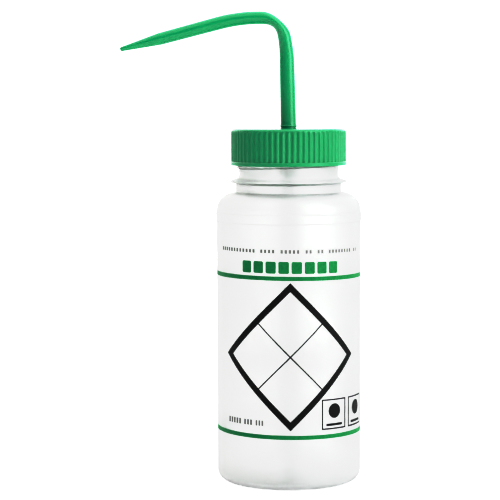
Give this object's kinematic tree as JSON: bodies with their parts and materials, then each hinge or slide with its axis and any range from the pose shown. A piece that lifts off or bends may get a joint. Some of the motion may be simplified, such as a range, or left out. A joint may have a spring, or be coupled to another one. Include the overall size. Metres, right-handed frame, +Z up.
{
  "type": "wash bottle",
  "caption": "Round translucent squeeze bottle with printed bands, a ribbed screw cap and a bent, swivelling spout that draws from the bottom through a dip tube",
  "frame": {"origin": "middle of the flat ring the bottle stands on, on the bottle's axis", "axes": "+Z up the bottle's axis, -X the way the spout points, -Y the front of the print"},
  "size_m": [0.1219, 0.0738, 0.2382],
  "materials": {
    "natural_ldpe": "satin, translucent milky",
    "tube_ldpe": "satin, translucent",
    "green_pp": "gloss",
    "seal_foam": "matt",
    "green_ink": "matt",
    "black_ink": "matt",
    "grey_ink": "matt"
  },
  "bodies": {
    "bottle": {"bottle": "natural_ldpe", "upper_band_print": "green_ink", "lower_band_print": "green_ink", "title_print": "green_ink", "fill_note_print": "grey_ink", "code_print": "grey_ink", "frame_print": "black_ink", "marks_print": "black_ink", "rear_print": "black_ink"},
    "seal": {"seal_ring": "seal_foam"},
    "cap": {"cap": "green_pp"},
    "spout": {"spout": "green_pp", "dip_tube": "tube_ldpe"}
  },
  "joints": [
    {"name": "closure_lift", "type": "slide", "parent": "bottle", "child": "seal", "axis": [0, 0, 1], "range_m": [0, 0.0074]},
    {"name": "cap_turn", "type": "hinge", "parent": "seal", "child": "cap", "pos_m": [0, 0, 0.1695], "axis": [0, 0, 1], "range_deg": [0, 630]},
    {"name": "spout_swivel", "type": "hinge", "parent": "seal", "child": "spout", "pos_m": [0, 0, 0.1777], "axis": [0, 0, 1], "continuous": true}
  ],
  "couplings": [
    {"joint": "closure_lift", "follows": "cap_turn", "m_per_rad": 0.00067322}
  ]
}
